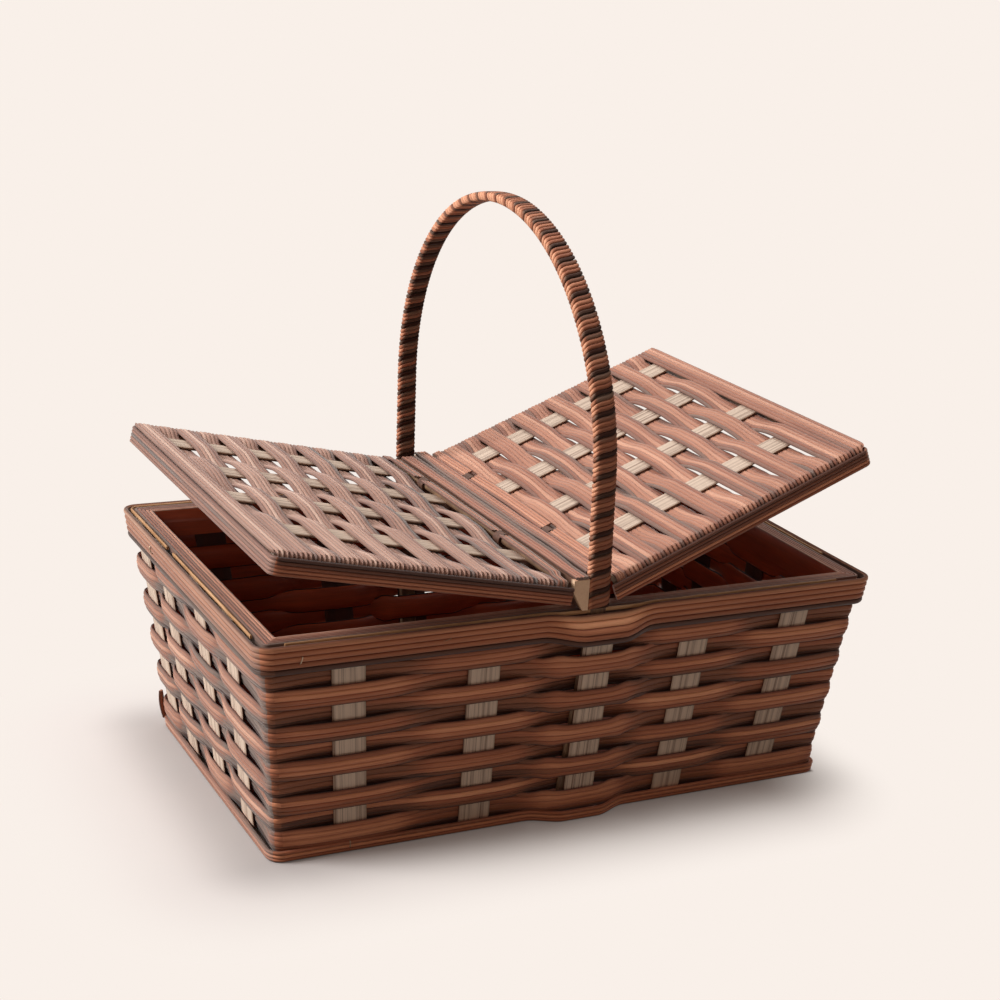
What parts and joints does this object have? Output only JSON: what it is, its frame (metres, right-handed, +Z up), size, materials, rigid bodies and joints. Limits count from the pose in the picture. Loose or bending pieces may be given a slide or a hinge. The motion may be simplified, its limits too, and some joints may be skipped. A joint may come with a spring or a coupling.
{
  "type": "picnic basket",
  "caption": "Rectangular woven picnic basket with a tapered body, a wrapped arch handle and two lids hinged on a centre bar.",
  "frame": {"origin": "under the middle of the rim, on the surface that the basket stands on", "axes": "+X along the basket to the right lid, +Y from the front wall to the back wall, +Z up"},
  "size_m": [0.3996, 0.2754, 0.3585],
  "materials": {
    "woven_band": "satin stained split band, striped along its length",
    "binding_band": "satin stained split band, darker",
    "pale_slat": "plain split bamboo with fine grain",
    "floor_board": "stained thin board"
  },
  "bodies": {
    "basket": {"weaver_01": "woven_band", "weaver_02": "woven_band", "weaver_03": "woven_band", "weaver_04": "woven_band", "weaver_05": "woven_band", "weaver_06": "woven_band", "weaver_07": "woven_band", "weaver_08": "woven_band", "weaver_09": "woven_band", "weaver_10": "woven_band", "cross_stake_1": "pale_slat", "cross_stake_2": "pale_slat", "cross_stake_3": "pale_slat", "cross_stake_4": "pale_slat", "cross_stake_5": "pale_slat", "long_stake_1": "pale_slat", "long_stake_2": "pale_slat", "long_stake_3": "pale_slat", "long_stake_4": "pale_slat", "outer_rim": "binding_band", "inner_rim": "woven_band", "foot_band": "binding_band", "floor_panel": "floor_board", "handle_core": "pale_slat", "handle_wrap": "binding_band", "centre_bar": "pale_slat", "left_hinge_loop_front": "binding_band", "left_hinge_loop_back": "binding_band", "right_hinge_loop_front": "binding_band", "right_hinge_loop_back": "binding_band"},
    "left_lid": {"left_lid_frame": "pale_slat", "left_lid_side_band": "woven_band", "left_lid_band_01": "woven_band", "left_lid_band_02": "woven_band", "left_lid_band_03": "woven_band", "left_lid_band_04": "woven_band", "left_lid_band_05": "woven_band", "left_lid_band_06": "woven_band", "left_lid_band_07": "woven_band", "left_lid_band_08": "woven_band", "left_lid_band_09": "woven_band", "left_lid_band_10": "woven_band", "left_lid_band_11": "woven_band", "left_lid_band_12": "woven_band", "left_lid_band_13": "woven_band"},
    "right_lid": {"right_lid_frame": "pale_slat", "right_lid_side_band": "woven_band", "right_lid_band_01": "woven_band", "right_lid_band_02": "woven_band", "right_lid_band_03": "woven_band", "right_lid_band_04": "woven_band", "right_lid_band_05": "woven_band", "right_lid_band_06": "woven_band", "right_lid_band_07": "woven_band", "right_lid_band_08": "woven_band", "right_lid_band_09": "woven_band", "right_lid_band_10": "woven_band", "right_lid_band_11": "woven_band", "right_lid_band_12": "woven_band", "right_lid_band_13": "woven_band"}
  },
  "joints": [
    {"name": "left_lid_hinge", "type": "hinge", "parent": "basket", "child": "left_lid", "pos_m": [-0.016, 0, 0.1588], "axis": [0, 1, 0], "range_deg": [-13.1, 76]},
    {"name": "right_lid_hinge", "type": "hinge", "parent": "basket", "child": "right_lid", "pos_m": [0.016, 0, 0.1588], "axis": [0, -1, 0], "range_deg": [-23.8, 66.8]}
  ]
}
